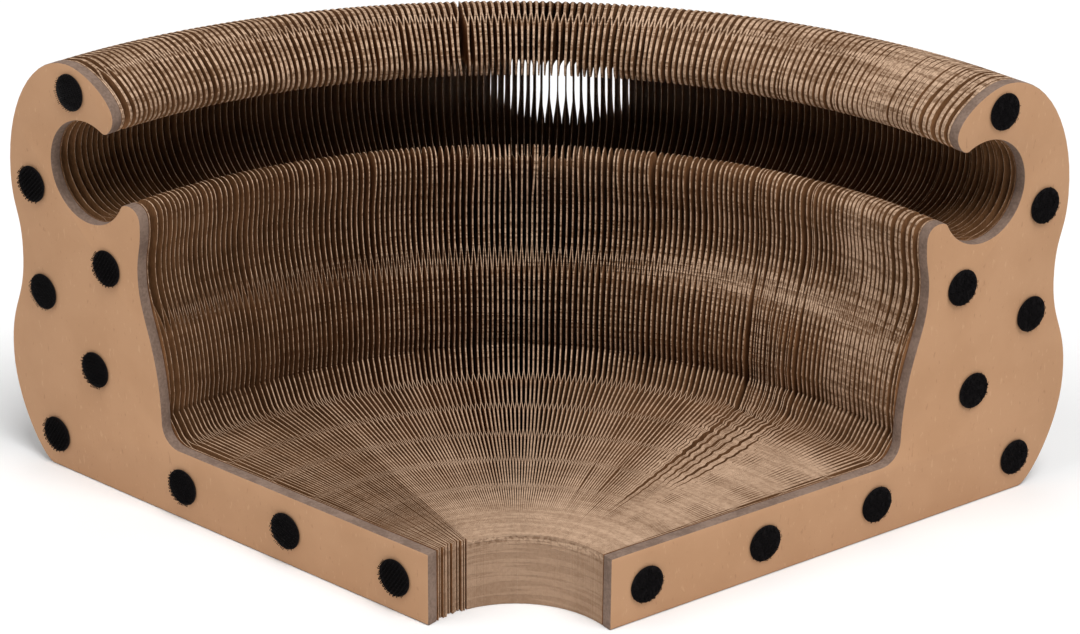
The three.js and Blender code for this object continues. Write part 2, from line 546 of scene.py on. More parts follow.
@dataclass(frozen=True)
class Outline:
    """The outline to which sheets and boards are cut: a low floor, a curved wall and a ball track.

    Handles are shares of the stretch that a curve crosses.
    """

    length: float = 230 * MM
    height: float = 177.5 * MM
    floor_height: float = 29.5 * MM
    floor_length: float = 141.5 * MM
    floor_fillet: float = 9 * MM
    heel_length: float = 21 * MM
    heel_height: float = 44 * MM
    heel_handles: Span = (0.28, 0.5)
    waist_height: float = 93 * MM
    waist_depth: float = 10 * MM
    shoulder_height: float = 124 * MM
    shoulder_setback: float = 5.5 * MM
    crest_setback: float = 43 * MM
    crest_handle: float = 0.55
    nose_handles: Span = (0.4, 0.44)
    track_radius: float = 21 * MM
    track_setback: float = 52 * MM
    track_height: float = 135 * MM
    track_hook_angle: float = 118
    track_lip_angle: float = 208
    hook_reach: float = 16.6 * MM
    hook_rise: float = 25.5 * MM
    hook_handles: Span = (0.6, 0.4)
    lip_reach: float = 29.1 * MM
    lip_drop: float = 14.5 * MM
    lip_handles: Span = (0.3, 0.75)
    hollow_height: float = 98 * MM
    hollow_depth: float = 2.6 * MM
    wall_handles: Span = (0.3, 0.56)

    @property
    def track_centre(self) -> Vector:
        """The middle of the ball track."""
        return Vector((self.length - self.track_setback, self.track_height))

    @property
    def wall_foot(self) -> Vector:
        """Where the wall ends and its foot begins."""
        return Vector((self.floor_length, self.floor_height + self.floor_fillet))

    def _track(self, degrees: float) -> tuple[Vector, Vector]:
        """Finds a point of the track's wall.

        Args:
            degrees: The angle at which the point lies.

        Returns:
            The point, and the direction in which the wall runs there, clockwise.
        """
        angle = math.radians(degrees)
        outwards = Vector((math.cos(angle), math.sin(angle)))
        return self.track_centre + outwards * self.track_radius, Vector((math.sin(angle), -math.cos(angle)))

    def _draw_back(self, pen: Pen) -> None:
        """Draws the back edge, from the heel on the floor to the crest of the hook.

        Args:
            pen: The pen, at the heel.
        """
        lower = (self.waist_height - self.heel_height) / 2
        upper = (self.shoulder_height - self.waist_height) / 2
        top = self.crest_handle * (self.height - self.shoulder_height)
        brow = self.crest_handle * (self.crest_setback - self.shoulder_setback)
        heel_out = self.heel_handles[0] * self.heel_length
        heel_up = self.heel_handles[1] * self.heel_height
        waist = Vector((self.length - self.waist_depth, self.waist_height))
        shoulder = Vector((self.length - self.shoulder_setback, self.shoulder_height))
        crest = Vector((self.length - self.crest_setback, self.height))
        pen.curve_to(Vector((heel_out, 0)), Vector((0, -heel_up)), Vector((self.length, self.heel_height)))
        pen.curve_to(Vector((0, lower)), Vector((0, -lower)), waist)
        pen.curve_to(Vector((0, upper)), Vector((0, -upper)), shoulder)
        pen.curve_to(Vector((0, top)), Vector((brow, 0)), crest)

    def _draw_track(self, pen: Pen) -> None:
        """Draws the hook, the round track under it and the lip.

        Args:
            pen: The pen, at the crest.
        """
        nose = self.track_centre + Vector((-self.hook_reach, self.hook_rise))
        lip = self.track_centre - Vector((self.lip_reach, self.lip_drop))
        hook_end, hook_heading = self._track(self.track_hook_angle)
        lip_start, lip_heading = self._track(self.track_lip_angle)
        brow = pen.place - nose
        brow_out, brow_up = brow.x * self.nose_handles[0], brow.y * self.nose_handles[1]
        nose_down, hook_back = (share * (nose.y - hook_end.y) for share in self.hook_handles)
        lip_out, lip_up = (share * (lip_start.x - lip.x) for share in self.lip_handles)
        pen.curve_to(Vector((-brow_out, 0)), Vector((0, brow_up)), nose)
        pen.curve_to(Vector((0, -nose_down)), hook_heading * -hook_back, hook_end)
        pen.arc_clockwise(self.track_centre, self.track_hook_angle, self.track_lip_angle - 360)
        pen.curve_to(lip_heading * lip_out, Vector((0, lip_up)), lip)

    def _draw_wall(self, pen: Pen) -> None:
        """Draws the wall, from the front of the lip down to its foot.

        Args:
            pen: The pen, at the lip.
        """
        hollow = Vector((pen.place.x + self.hollow_depth, self.hollow_height))
        under = (pen.place.y - self.hollow_height) / 2
        down, foot_up = (share * (self.hollow_height - self.wall_foot.y) for share in self.wall_handles)
        pen.curve_to(Vector((0, -under)), Vector((0, under)), hollow)
        pen.curve_to(Vector((0, -down)), Vector((0, foot_up)), self.wall_foot)

    def _draw_foot(self, pen: Pen) -> None:
        """Draws the round foot of the wall, down to the floor."""
        pen.arc_clockwise(pen.place - Vector((self.floor_fillet, 0)), 0, -90)

    def knots(self) -> list[Knot]:
        """Draws the whole outline.

        Returns:
            Its knots.
        """
        pen = Pen(0, 0)
        pen.line_to(self.length - self.heel_length, 0)
        self._draw_back(pen)
        self._draw_track(pen)
        self._draw_wall(pen)
        self._draw_foot(pen)
        pen.line_to(0, self.floor_height)
        return pen.close()


@dataclass(frozen=True)
class SheetOutline(Outline):
    """The outline of the paper sheets: their wall ends in a slight overhang above a bevelled foot."""

    overhang_height: float = 19.5 * MM
    kink_height: float = 10.5 * MM
    kink_depth: float = 1.6 * MM
    bevel_height: float = 3 * MM
    bevel_run: float = 5.3 * MM
    foot_run: float = 12 * MM

    @property
    def wall_foot(self) -> Vector:
        """Where the wall ends and the overhang begins."""
        return Vector((self.floor_length, self.floor_height + self.overhang_height))

    def _draw_foot(self, pen: Pen) -> None:
        """Draws the overhang, the bevel under it and the turn to the floor.

        Args:
            pen: The pen, at the end of the wall.
        """
        kink = Vector((self.floor_length + self.kink_depth, self.floor_height + self.kink_height))
        bevel = kink - Vector((self.bevel_run, self.kink_height - self.bevel_height))
        end = Vector((kink.x - self.foot_run, self.floor_height))
        reach = (bevel.x - end.x) / 3
        pen.line_to(*kink)
        pen.line_to(*bevel)
        pen.curve_to((bevel - kink).normalized() * reach, Vector((reach, 0)), end)


class Bench:
    """The modelling steps that several pieces share."""

    WELD = 0.01 * MM

    @staticmethod
    def clear() -> None:
        """Leaves edit mode and selects nothing."""
        if bpy.context.object and bpy.context.object.mode != "OBJECT":
            bpy.ops.object.mode_set(mode="OBJECT")
        bpy.ops.object.select_all(action="DESELECT")

    @staticmethod
    def hold(*pieces: bpy.types.Object) -> None:
        """Selects some pieces alone.

        Args:
            pieces: What is selected. The first one is made active.
        """
        Bench.clear()
        for piece in pieces:
            piece.select_set(True)
        bpy.context.view_layer.objects.active = pieces[0]

    @staticmethod
    def edit(piece: bpy.types.Object, mode: str = "FACE") -> None:
        """Opens a piece in edit mode with all of it selected.

        Args:
            piece: What is edited.
            mode: What is selected: its points, edges or faces.
        """
        Bench.hold(piece)
        bpy.ops.object.mode_set(mode="EDIT")
        bpy.ops.mesh.select_mode(type=mode)
        bpy.ops.mesh.select_all(action="SELECT")

    @staticmethod
    def apply(piece: bpy.types.Object, modifier: bpy.types.Modifier) -> None:
        """Applies one modifier."""
        Bench.hold(piece)
        bpy.ops.object.modifier_apply(modifier=modifier.name)

    @staticmethod
    def rename(piece: bpy.types.Object, name: str) -> None:
        """Names a piece and its mesh."""
        piece.name = name
        piece.data.name = name

    @staticmethod
    def join(name: str, pieces: Sequence[bpy.types.Object]) -> bpy.types.Object:
        """Joins pieces into the first one.

        Args:
            name: The joined piece's name.
            pieces: What is joined.

        Returns:
            The joined piece.
        """
        Bench.hold(*pieces)
        bpy.ops.object.join()
        Bench.rename(bpy.context.object, name)
        return bpy.context.object

    @staticmethod
    def copy(piece: bpy.types.Object) -> bpy.types.Object:
        """Copies a piece.

        Args:
            piece: What is copied.

        Returns:
            The copy, with a mesh of its own.
        """
        twin = piece.copy()
        twin.data = piece.data.copy()
        bpy.context.scene.collection.objects.link(twin)
        return twin

    @staticmethod
    def drop(piece: bpy.types.Object) -> None:
        """Takes a pattern off the bench once its copies are made."""
        bpy.data.objects.remove(piece)

    @staticmethod
    def places(piece: bpy.types.Object) -> np.ndarray:
        """Reads where a mesh's points are.

        Args:
            piece: The mesh's piece.

        Returns:
            The places, one row each.
        """
        places = np.empty(len(piece.data.vertices) * 3)
        piece.data.vertices.foreach_get("co", places)
        return places.reshape(-1, 3)

    @staticmethod
    def put(piece: bpy.types.Object, places: np.ndarray) -> None:
        """Moves a mesh's points to these places."""
        piece.data.vertices.foreach_set("co", np.ascontiguousarray(places, dtype=np.float32).ravel())
        piece.data.update()

    @staticmethod
    def smooth(piece: bpy.types.Object, degrees: float) -> None:
        """Shades a piece smooth where its faces meet at less than that angle."""
        Bench.hold(piece)
        bpy.ops.object.shade_smooth_by_angle(angle=math.radians(degrees))

    @staticmethod
    def cut_out(name: str, outline: Outline, steps: int) -> bpy.types.Object:
        """Draws the outline as a curve and fills it, flat: X along the sheet and Y up it.

        Args:
            name: The piece's name.
            outline: What is drawn.
            steps: The steps of each of its curves.

        Returns:
            A flat piece of one face.
        """
        Bench.clear()
        bpy.ops.curve.primitive_bezier_curve_add(location=(0, 0, 0))
        curve = bpy.context.object
        curve.name = name
        spline = curve.data.splines[0]
        knots = outline.knots()
        spline.bezier_points.add(len(knots) - len(spline.bezier_points))
        for point, knot in zip(spline.bezier_points, knots):
            point.handle_left_type = "FREE"
            point.handle_right_type = "FREE"
            point.co = (*knot.place, 0)
            point.handle_left = (*knot.before, 0)
            point.handle_right = (*knot.after, 0)
        spline.use_cyclic_u = True
        spline.resolution_u = steps
        bpy.ops.object.convert(target="MESH")
        piece = bpy.context.object
        Bench.edit(piece, "VERT")
        bpy.ops.mesh.remove_doubles(threshold=Bench.WELD)
        bpy.ops.mesh.edge_face_add()
        bpy.ops.object.mode_set(mode="OBJECT")
        return piece


@dataclass(frozen=True)
class Fan:
    """How the fan stands open: its hinges come from the frame, and its angles from the opening."""

    leaves: int = 37
    opening: float = 104
    board_share: float = 0.625
    leaf_pitch: float = 1.9 * MM
    board_gap: float = 0.15 * MM

    @property
    def leaf_fold(self) -> float:
        """The angle of one fold at rest, in radians."""
        return math.radians(self.opening / (self.leaves - 1 + 2 * self.board_share))

    @property
    def board_fold(self) -> float:
        """The angle of the fold at a board, in radians."""
        return self.leaf_fold * self.board_share

    def leaf_angle(self, number: int) -> float:
        """The heading of a leaf, in radians to the right of +Y."""
        return (number - (self.leaves + 1) / 2) * self.leaf_fold

    def board_angle(self, side: Side) -> float:
        """The heading of a board."""
        return side.value * math.radians(self.opening / 2)

    @staticmethod
    def leaf(number: int) -> str:
        """The name of a leaf, counted from the left."""
        return f"leaf_{number:02d}"

    @staticmethod
    def board(side: Side) -> str:
        """The name of a board."""
        return f"{side.name.lower()}_board"

    @staticmethod
    def hinge(first: str, second: str) -> np.ndarray:
        """The place of the fold line between two bodies, on the floor."""
        joint = next(j for j in frame["joints"] if {j["parent"], j["child"]} == {first, second})
        return np.array(joint["pos_m"][:2])

    @staticmethod
    def stand(
        hinge: np.ndarray,
        angle: np.ndarray | float,
        along: np.ndarray,
        across: np.ndarray | float,
        up: np.ndarray,
    ) -> np.ndarray:
        """Stands flat points up at a fold line.

        Args:
            hinge: The fold line's place on the floor.
            angle: Each point's heading, in radians to the right of +Y.
            along: Each point's distance along that heading.
            across: Each point's distance to the right of it.
            up: Each point's height.

        Returns:
            The points, one row each.
        """
        sine, cosine = np.sin(angle), np.cos(angle)
        east = hinge[0] + along * sine + across * cosine
        north = hinge[1] + along * cosine - across * sine
        return np.stack([east, north, up], axis=1)


@dataclass(frozen=True)
class Points:
    """The flat points of one sheet, by its number, their distances from its inner end and their heights."""

    sheet: int
    along: np.ndarray
    up: np.ndarray

    def beside(self, side: Side) -> Points:
        """The same points of the next sheet to that side."""
        return replace(self, sheet=self.sheet + side.value)


@dataclass(frozen=True)
class Split:
    """A gap that has torn open between two sheets of the honeycomb.

    The sheets on one side of it give way, each less than the one before, and those on the other side stay.
    The first sheet that gives way names the gap. Widths are in sheet spacings.
    """

    sheet: int
    width: float
    spread: float
    opens: Span
    closes: Span
    gives: Side = Side.LEFT
    left_over: float = 0.0
    ends: Span = (300 * MM, 301 * MM)
    up: Span = (0.0, 1 * MM)

    def reach(self, at: Points) -> np.ndarray:
        """How much of the gap shows at each point of a sheet, from 0 to 1."""
        kept = 1 - (1 - self.left_over) * ease(self.closes, at.along)
        return ease(self.opens, at.along) * kept * ease_out(self.ends, at.along) * ease(self.up, at.up)

    def _fade(self, sheet: int) -> float:
        """How much of the gap's width still reaches a sheet, from 0 to 1."""
        offset = self.gives.value * (sheet - self.sheet)
        return max(1 - offset / self.spread, 0) if offset >= 0 else 0.0

    def shift(self, sheet: int) -> float:
        """How far a sheet is pushed aside."""
        return self.gives.value * self.width * self._fade(sheet)

    def squeeze(self, sheet: int) -> float:
        """How much closer together the sheets lie there."""
        return -self.width / self.spread if self._fade(sheet) else 0.0


@dataclass(frozen=True)
class Flare:
    """A glued pair of sheets whose free end has bent to one side, by an amount in sheet spacings."""

    sheet: int
    amount: float
    along: Span
    up: Span

    def shift(self, at: Points) -> np.ndarray | float:
        """How far a sheet is bent aside at each of its points.

        Args:
            at: The sheet's points.

        Returns:
            The shifts.
        """
        if at.sheet not in (self.sheet, self.sheet + 1):
            return 0.0
        return self.amount * ease_out(self.along, at.along) * ease(self.up, at.up)


@dataclass
class Honeycomb:
    """How the glued strips draw the sheets together, and how hand-opened paper departs from that.

    Sheets are numbered from the left, and shifts are in spacings between two sheets.
    """

    outline: Outline
    sheets: int
    spacing: float
    strip_start: float = 28.7 * MM
    strip_pitch: float = 23.2 * MM
    wall_lean: float = 0.184
    back_lean: float = 0.024
    lean_turn: Span = (150 * MM, 165 * MM)
    crossing: float = 0.14
    last_strip: int = 7
    back_slant: float = 0.35
    back_swap: float = 211.5 * MM
    back_swap_run: float = 2.6 * MM
    open_back: Span = (9 * MM, 26 * MM)
    shut_firmly: float = 1.2
    tight_pair: float = 0.85
    most_turn: float = 1.9
    least_turn_room: float = 0.1
    free_start: float = 192.6 * MM
    free_run: float = 32.5 * MM
    free_slant: float = 0.206
    free_lean: float = -1.0
    bow: float = -2.4
    bow_run: Span = (30 * MM, 230 * MM)
    loose_thickness: float = 0.12 * MM
    inner_thickness: float = 0.22 * MM
    floor_sheets: tuple[float, ...] = (50, 140)
    floor_thicknesses: tuple[float, ...] = (0.27 * MM, 0.3 * MM)
    wall_sheets: tuple[float, ...] = (50, 140, 175, 235)
    wall_thicknesses: tuple[float, ...] = (0.15 * MM, 0.32 * MM, 0.31 * MM, 0.31 * MM)
    wall_levels: Span = (30 * MM, 48 * MM)
    track_run: Span = (160 * MM, 168 * MM)
    track_thickness: float = 0.11 * MM
    back_burr: float = 0.18 * MM
    back_burr_run: Span = (203 * MM, 209 * MM)
    thickness_run: float = 70 * MM
    loose_thickness_run: float = 130 * MM
    rim_levels: tuple[float, ...] = (122 * MM, 128 * MM, 147 * MM, 155 * MM, 171.5 * MM, 176 * MM)
    rim_thicknesses: tuple[float, ...] = (0.3 * MM, 0.16 * MM, 0.16 * MM, 0.4 * MM, 0.44 * MM, 0.54 * MM)
    rim_sheets: tuple[float, ...] = (0, 90, 147, 200, 260)
    rim_shares: tuple[float, ...] = (1.4, 1.2, 0.9, 1.4, 1.9)
    flat_front: Span = (18 * MM, 40 * MM)
    front_sheets: Span = (150, 235)
    front_shares: Span = (0.6, 1.0)
    flat_sheets: Span = (208, 242)
    flat_run: Span = (108 * MM, 136 * MM)
    flat_depths: Span = (3.3 * MM, 0.1 * MM)
    flat_top: float = 0.5 * MM
    flat_fill: float = 0.97
    wall_depth: float = 156 * MM
    wall_crossing: float = 5.5
    belt_sheets: Span = (165, 225)
    belt_run: Span = (0.02, 0.3)
    belt_press: float = 0.6
    end_press: float = 0.62
    end_press_sheets: Span = (250, 276)
    rim_press_levels: Span = (152 * MM, 160 * MM)
    board_sheets: Span = (2, 5)
    tick_depth: float = 0.32
    tick_share: Span = (0.6, 0.98)
    tick_length: float = 21
    tick_end: Span = (279, 285)
    sways: tuple[Span, ...] = ((41.0, 0.5), (17.0, 0.22), (9.5, 0.1))
    sway_run: float = 80 * MM
    sway_twist: float = 6.0
    sway_rise: float = 0.4
    rise: float = 3.6 * MM
    rise_power: int = 4
    rise_run: Span = (85 * MM, 140 * MM)
    rise_end: Span = (150 * MM, 200 * MM)
    rise_levels: Span = (50 * MM, 100 * MM)
    section_ends: Span = (51.5, 243.5)
    section_calm: float = 12.0
    end_reach: float = 0.4
    end_slack: float = 0.1
    end_sheets: int = 5
    end_gap: float = 10 / 9
    loose_sheets: int = 58
    loose_fade: int = 16
    loose_run: float = 95 * MM
    loose_slip: float = 0.05 * MM
    clump_sizes: tuple[int, ...] = (3, 4, 5, 5, 6)
    clump_slips: Span = (-0.4 * MM, 1.0 * MM)
    clump_draw: float = 0.48
    torn_sheets: Span = (224, 252)
    torn_run: Span = (18 * MM, 148 * MM)
    torn_waves: tuple[Triple, ...] = ((7.9 * MM, 0.5, 0.2), (4.7 * MM, 0.24, 0.35), (2.9 * MM, 0.08, 0.8))
    lip_bend: tuple[Span, Span] = ((153 * MM, 164 * MM), (102 * MM, 122 * MM))
    hook_bend: tuple[Span, Span] = ((163 * MM, 174 * MM), (150 * MM, 168 * MM))
    bend_sizes: Span = (0.35, 0.95)
    bend_start: tuple[int, int] = (2, 5)
    lip_bend_pairs: tuple[int, int] = (3, 14)
    hook_bend_pairs: tuple[int, int] = (4, 16)
    bend_apart: int = 4
    bend_end: int = 8
    wall_gaps: tuple[Span, ...] = ((271, 0.7), (281, 0.9), (285, 1.1), (289, 1.6))
    wall_gap_spread: float = 20
    slit_spread: float = 18

    def __post_init__(self) -> None:
        """Draws the honeycomb's irregular places, the same ones each run."""
        draw = random.Random(SEED)
        self.phases = [draw.uniform(0, FULL_TURN) for _ in self.sways]
        self.splits = self._cluster() + self._slits() + self._end_gaps()
        self.flares = self._flares(draw)
        self.slips, self.clumps = self._loose(draw)

    @staticmethod
    def _cluster() -> list[Split]:
        """The broad torn gaps on the floor, right of the middle, which run on up the wall.

        Returns:
            The gaps.
        """
        ends = (150 * MM, 185 * MM)
        long_run = {"opens": (12 * MM, 52 * MM), "closes": (98 * MM, 146 * MM), "left_over": 0.4}
        short_run = {"opens": (50 * MM, 76 * MM), "closes": (98 * MM, 130 * MM), "left_over": 0.3}
        return [
            Split(229, 3.1, 14.5, gives=Side.RIGHT, ends=ends, **long_run),
            Split(232, 2.0, 11.5, gives=Side.RIGHT, ends=ends, **long_run),
            Split(237, 2.0, 8.5, ends=ends, **short_run),
            Split(241, 1.8, 12.5, ends=ends, **short_run),
            Split(246, 2.8, 36, gives=Side.RIGHT, ends=ends, **short_run),
            Split(249, 2.0, 36, gives=Side.RIGHT, ends=ends, **short_run),
        ]

    def _slits(self) -> list[Split]:
        """The narrow slits near the middle of the floor, and one in the rim.

        Returns:
            The slits.
        """
        spread = self.slit_spread
        rim = (148 * MM, 165 * MM)
        return [
            Split(190, 1.5, spread, (18 * MM, 36 * MM), (50 * MM, 80 * MM)),
            Split(206, 1.7, spread, (26 * MM, 46 * MM), (68 * MM, 98 * MM)),
            Split(198, 0.9, spread, (8 * MM, 24 * MM), (34 * MM, 60 * MM)),
            Split(213, 1.0, spread, (8 * MM, 22 * MM), (30 * MM, 62 * MM)),
            Split(123, 1.6, spread, (120 * MM, 160 * MM), (190 * MM, 230 * MM), up=rim),
        ]

    def _end_gaps(self) -> list[Split]:
        """The gaps that stand open in the wall by the right board."""
        wall = {"opens": (70 * MM, 150 * MM), "closes": (170 * MM, 250 * MM), "up": (40 * MM, 105 * MM)}
        return [Split(sheet, width, self.wall_gap_spread, **wall) for sheet, width in self.wall_gaps]

    def _flares(self, draw: random.Random) -> list[Flare]:
        """The bent ends along the lip and the hook: four that stand out, and others between them.

        Args:
            draw: Where the others' places and sizes come from.

        Returns:
            The bent ends.
        """
        lip, hook = self.lip_bend, self.hook_bend
        flares = [
            Flare(146, 1.0, *lip),
            Flare(188, -1.0, *lip),
            Flare(103, -0.9, *hook),
            Flare(181, 0.9, *hook),
        ]
        taken = {flare.sheet // self.bend_apart for flare in flares}
        for first, pairs, zone in ((0, self.lip_bend_pairs, lip), (1, self.hook_bend_pairs, hook)):
            sheet = first + 2 * draw.randint(*self.bend_start)
            while sheet < self.sheets - self.bend_end:
                amount = draw.uniform(*self.bend_sizes) * draw.choice((-1, 1))
                if sheet // self.bend_apart not in taken:
                    flares.append(Flare(sheet, amount, *zone))
                sheet += 2 * draw.randint(*pairs)
        return flares

    def _loose(self, draw: random.Random) -> tuple[np.ndarray, np.ndarray]:
        """Lets the sheets by the left board fall into clumps at their inner ends.

        Args:
            draw: Where the clumps' differences come from.

        Returns:
            How far each sheet's inner end stands back, and how far it has gone to the right.
        """
        slips = np.array([draw.uniform(-self.loose_slip, self.loose_slip) for _ in range(self.sheets)])
        aside = np.zeros(self.sheets)
        sheet = 0
        while sheet < self.loose_sheets:
            last = min(sheet + draw.choice(self.clump_sizes), self.loose_sheets)
            numbers = np.arange(sheet, last)
            slips[sheet:last] += draw.uniform(*self.clump_slips)
            aside[sheet:last] = self.clump_draw * self.spacing * (numbers.mean() - numbers)
            sheet = last
        return slips, aside

    def is_torn(self, sheet: int) -> bool:
        """Whether a sheet is one of the wavy ones among the torn gaps."""
        return self.torn_sheets[0] <= sheet <= self.torn_sheets[1]

    def strip_place(self, phase: float) -> float:
        """Where a strip, or a share of the way to the next one, crosses the floor's height."""
        return self.strip_start + self.strip_pitch * phase

    def strip_phase(self, at: Points) -> np.ndarray:
        """The place among the glued strips, which lean as far as the wall and then stand nearly upright.

        Args:
            at: The sheet's points.

        Returns:
            The phases: whole numbers are strips.
        """
        lean = self.wall_lean + (self.back_lean - self.wall_lean) * ease(self.lean_turn, at.along)
        place = at.along + lean * (at.up - self.outline.floor_height)
        return (place - self.strip_start) / self.strip_pitch

    def pull(self, at: Points) -> np.ndarray:
        """How far an even sheet is drawn to the sheet on its right, from -1 to 1. Odd sheets are drawn back.

        At their back ends the sheets change partners once more, except behind the middle of the track.

        Args:
            at: The sheet's points.

        Returns:
            The draws.
        """
        phase = np.minimum(self.strip_phase(at), self.last_strip)
        pull = np.clip(np.cos(np.pi * phase) / math.sin(math.pi * self.crossing), -1, 1)
        off_track = np.abs(at.up - self.outline.track_height)
        shut = np.minimum(self.shut_firmly * ease(self.open_back, off_track), 1)
        swap = np.clip((self.back_swap - at.along - self.back_slant * off_track) / self.back_swap_run, -1, 1)
        return pull * (1 + (swap - 1) * shut)

    def calm(self, sheet: int) -> float:
        """How freely a sheet drifts, from 0 where two sections of the fan meet to 1."""
        near = min(abs(sheet - end) for end in self.section_ends)
        return ease((0, self.section_calm), near)

    def sway(self, at: Points) -> np.ndarray:
        """The slow drift of the sheets along the fan, with their bow and the lean of their back ends.

        Args:
            at: The sheet's points.

        Returns:
            The shifts.
        """
        twist = self.sway_twist * (at.along + self.sway_rise * at.up)
        drift = sum(
            size * np.sin(FULL_TURN * at.sheet / length + phase + twist)
            for (length, size), phase in zip(self.sways, self.phases)
        )
        place = at.along + self.free_slant * (at.up - self.outline.track_height)
        free = self.free_lean * np.clip(place - self.free_start, 0, None) / self.free_run
        middle = math.sin(math.pi * fraction(self.section_ends, at.sheet)) ** 2
        bow = self.bow * middle * fraction(self.bow_run, at.along)
        return self.calm(at.sheet) * (ease((0, self.sway_run), at.along) * drift + free) + bow

    def within_ends(self, sheet: int, shift: np.ndarray) -> np.ndarray:
        """Holds a sheet's shift back where a board is near.

        Args:
            sheet: The sheet's number.
            shift: The shift of each of its points.

        Returns:
            The shifts that are left.
        """
        left = self.end_reach * (sheet + 1 + self.end_slack)
        right = self.end_reach * (self.sheets - sheet + self.end_slack)
        return np.where(shift < 0, left * np.tanh(shift / left), right * np.tanh(shift / right))

    def to_board(self, sheet: int) -> float:
        """How far a sheet near an end is drawn to the board, to which the last sheet is glued flat.

        Args:
            sheet: The sheet's number.

        Returns:
            The shift.
        """
        left = max(1 - sheet / self.end_sheets, 0)
        right = max(1 - (self.sheets - 1 - sheet) / self.end_sheets, 0)
        return self.end_gap * (right - left)

    def drift(self, at: Points) -> np.ndarray:
        """How far a sheet has swayed and bent aside at each of its points."""
        return self.sway(at) + sum(flare.shift(at) for flare in self.flares)

    def room(self, at: Points, side: Side) -> np.ndarray:
        """How far off the next sheet lies on one side before the glue draws the two together.

        Args:
            at: The sheet's points.
            side: The side to look to.

        Returns:
            The distances, in spacings.
        """
        other = at.beside(side)
        room = 1 + side.value * (self.drift(other) - self.drift(at))
        for split in self.splits:
            room = room + (split.squeeze(at.sheet) + split.squeeze(other.sheet)) / 2 * split.reach(at)
        return np.clip(room + side.value * (self.to_board(other.sheet) - self.to_board(at.sheet)), 0, None)

    def pressed(self, at: Points) -> np.ndarray:
        """How flat the cut edges are pressed, from 0 to 1.

        They are pressed at the front of the floor, and on the floor and the wall at the right.

        Args:
            at: The sheet's points.

        Returns:
            The shares.
        """
        floor = self.outline.floor_height
        front_share = np.interp(at.sheet, self.front_sheets, self.front_shares)
        front = front_share * ease_out(self.flat_front, at.along)
        right = ease(self.flat_sheets, at.sheet) * ease_out(self.flat_run, at.along)
        deep, shallow = (floor - depth for depth in self.flat_depths)
        top = ease((deep, shallow), at.up) * (at.up < floor + self.flat_top)
        wall = ease(self.wall_levels, at.up) * (at.along < self.wall_depth)
        band = np.abs(self.strip_phase(at) - self.wall_crossing)
        belt = self.belt_press * ease(self.belt_sheets, at.sheet) * ease_out(self.belt_run, band)
        end = self.end_press * ease(self.end_press_sheets, at.sheet)
        end = end * np.maximum(wall, ease(self.rim_press_levels, at.up))
        tight = ease((self.loose_sheets, self.loose_sheets + self.loose_fade), at.sheet)
        off_board = ease(self.board_sheets, self.sheets - at.sheet)
        return np.maximum(np.maximum(front, right) * top, np.maximum(belt * wall, end)) * tight * off_board

    def ticks(self, at: Points) -> np.ndarray:
        """Where short openings are left in the pressed floor, from 0 to 1.

        Args:
            at: The sheet's points.

        Returns:
            The shares.
        """
        strip = ease(self.tick_share, np.abs(np.cos(np.pi * self.strip_phase(at))))
        patch = 0.5 + 0.5 * math.sin(FULL_TURN * at.sheet / self.tick_length)
        return strip * np.maximum(patch * patch, ease(self.tick_end, at.sheet))

    def thickness(self, at: Points, apart: np.ndarray) -> np.ndarray:
        """The thickness of a sheet with the burr of its cut edge.

        Args:
            at: The sheet's points.
            apart: How far apart the sheets lie there.

        Returns:
            The thicknesses.
        """
        is_loose = at.sheet < self.loose_sheets
        inner = self.loose_thickness if is_loose else self.inner_thickness
        run = self.loose_thickness_run if is_loose else self.thickness_run
        floor = np.interp(at.sheet, self.floor_sheets, self.floor_thicknesses)
        wall = np.interp(at.sheet, self.wall_sheets, self.wall_thicknesses)
        outer = floor + (wall - floor) * ease(self.wall_levels, at.up)
        plain = inner + (outer - inner) * ease((0, run), at.along)
        rim_share = np.interp(at.sheet, self.rim_sheets, self.rim_shares)
        rim = rim_share * np.interp(at.up, self.rim_levels, self.rim_thicknesses)
        plain = plain + (rim - plain) * ease(self.rim_levels[:2], at.up)
        back = ease(self.back_burr_run, at.along)
        track = ease(self.track_run, at.along) * (1 - back) * ease_out(self.rim_levels[2:4], at.up)
        plain = plain + (self.track_thickness - plain) * track + self.back_burr * back
        flat = (self.flat_fill - self.tick_depth * self.ticks(at)) * apart
        return plain + (np.maximum(flat, plain) - plain) * self.pressed(at)

    def tear(self, at: Points) -> np.ndarray | float:
        """How far a torn sheet waves to and fro at each of its points.

        Args:
            at: The sheet's points.

        Returns:
            The shifts.
        """
        if not self.is_torn(at.sheet):
            return 0.0
        grade = np.sqrt(np.sin(np.pi * fraction(self.torn_run, at.along)))
        return grade * sum(
            size * np.sin(FULL_TURN * at.along / length + turn * at.sheet)
            for length, size, turn in self.torn_waves
        )

